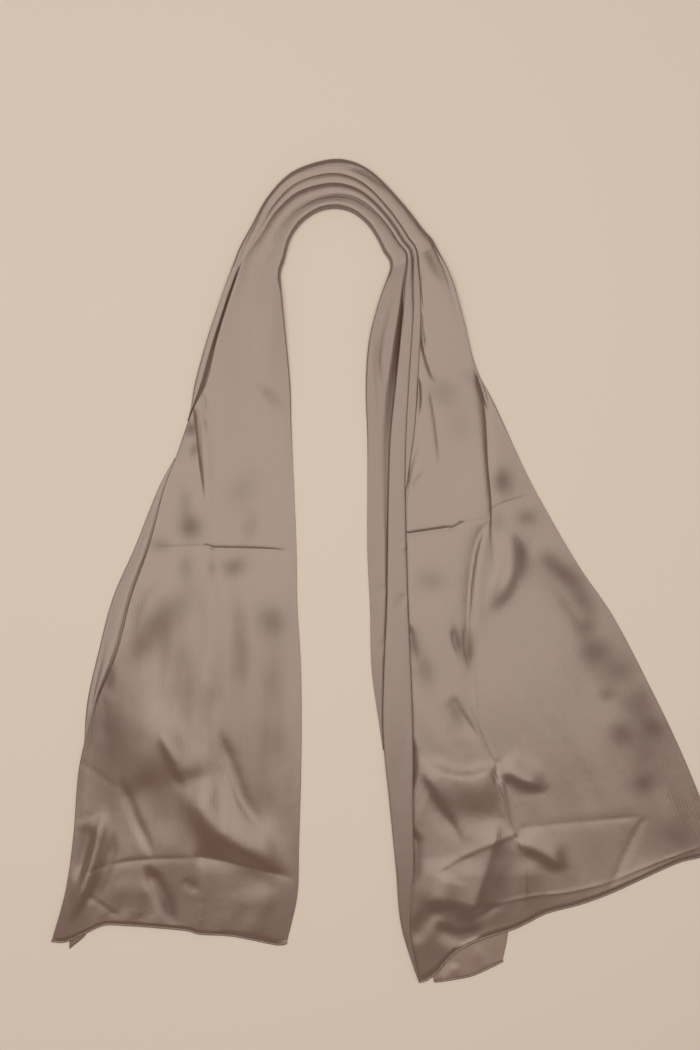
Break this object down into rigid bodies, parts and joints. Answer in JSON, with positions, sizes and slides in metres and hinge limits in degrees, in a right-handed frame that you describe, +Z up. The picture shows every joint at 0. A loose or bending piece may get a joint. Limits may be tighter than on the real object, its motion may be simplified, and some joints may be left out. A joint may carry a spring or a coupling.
{
  "type": "satin stole, laid flat",
  "caption": "Long narrow satin stole laid flat in an upside-down U, with a gathered neck, two flaring tails and rolled hems.",
  "frame": {"origin": "middle of the rectangle around the laid stole, on the surface it lies on", "axes": "+Z up from the surface, +Y from the hems towards the gathered neck, +X towards the wider right tail"},
  "size_m": [0.774, 0.9499, 0.0129],
  "materials": {
    "satin": "soft satin sheen, fine lengthwise rib",
    "satin_single_layer": "soft satin sheen, one semi-sheer layer",
    "rolled_hem": "rolled and stitched satin"
  },
  "bodies": {
    "root": {"neck_gather": "satin", "left_outer_roll": "satin", "left_panel": "satin", "left_under_layer": "satin_single_layer", "left_hem": "rolled_hem", "right_inner_strip": "satin", "right_pleat": "satin", "right_small_pleat": "satin", "right_panel": "satin", "right_hem": "rolled_hem", "right_under_flap": "satin_single_layer", "right_flap_hem": "rolled_hem"}
  },
  "joints": []
}
